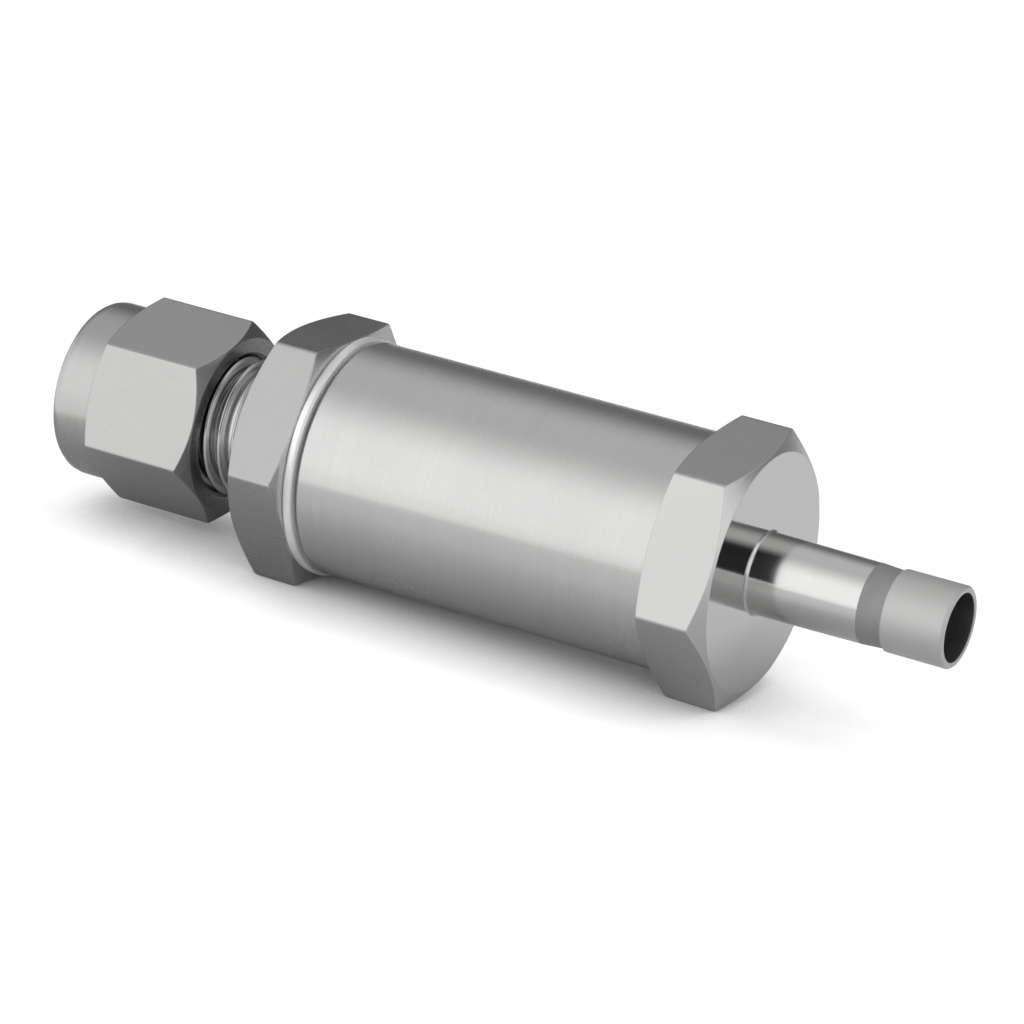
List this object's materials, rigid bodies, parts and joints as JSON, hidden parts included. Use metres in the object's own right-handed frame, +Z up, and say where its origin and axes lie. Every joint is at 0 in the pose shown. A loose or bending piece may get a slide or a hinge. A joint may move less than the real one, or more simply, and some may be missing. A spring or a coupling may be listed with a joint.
{
  "type": "inline particulate filter",
  "caption": "Inline particulate filter: turned steel housing with a sintered cup inside, a compression fitting for small tube at one end and a plain tube stub at the other.",
  "frame": {"origin": "on the flow axis, halfway between the nut's outer end and the stub's end", "axes": "+X along the flow axis from the tube fitting towards the tube stub, +Z up with a flat of the bonnet's hexagon facing straight down"},
  "size_m": [0.0758, 0.0218, 0.0206],
  "materials": {
    "turned_steel_body": "fine turned barrel, polished end face and stub",
    "turned_steel_bonnet": "satin, turned end faces",
    "turned_steel_nut": "satin, turned barrel",
    "ferrule_steel": "smooth turned",
    "gasket_plating": "bright silver plate",
    "sintered_steel": "matte, granular",
    "spring_steel": "drawn wire"
  },
  "bodies": {
    "root": {"body": "turned_steel_body", "bonnet": "turned_steel_bonnet", "nut": "turned_steel_nut", "front_ferrule": "ferrule_steel", "back_ferrule": "ferrule_steel", "gasket": "gasket_plating", "filter_element": "sintered_steel", "spring": "spring_steel"}
  },
  "joints": []
}
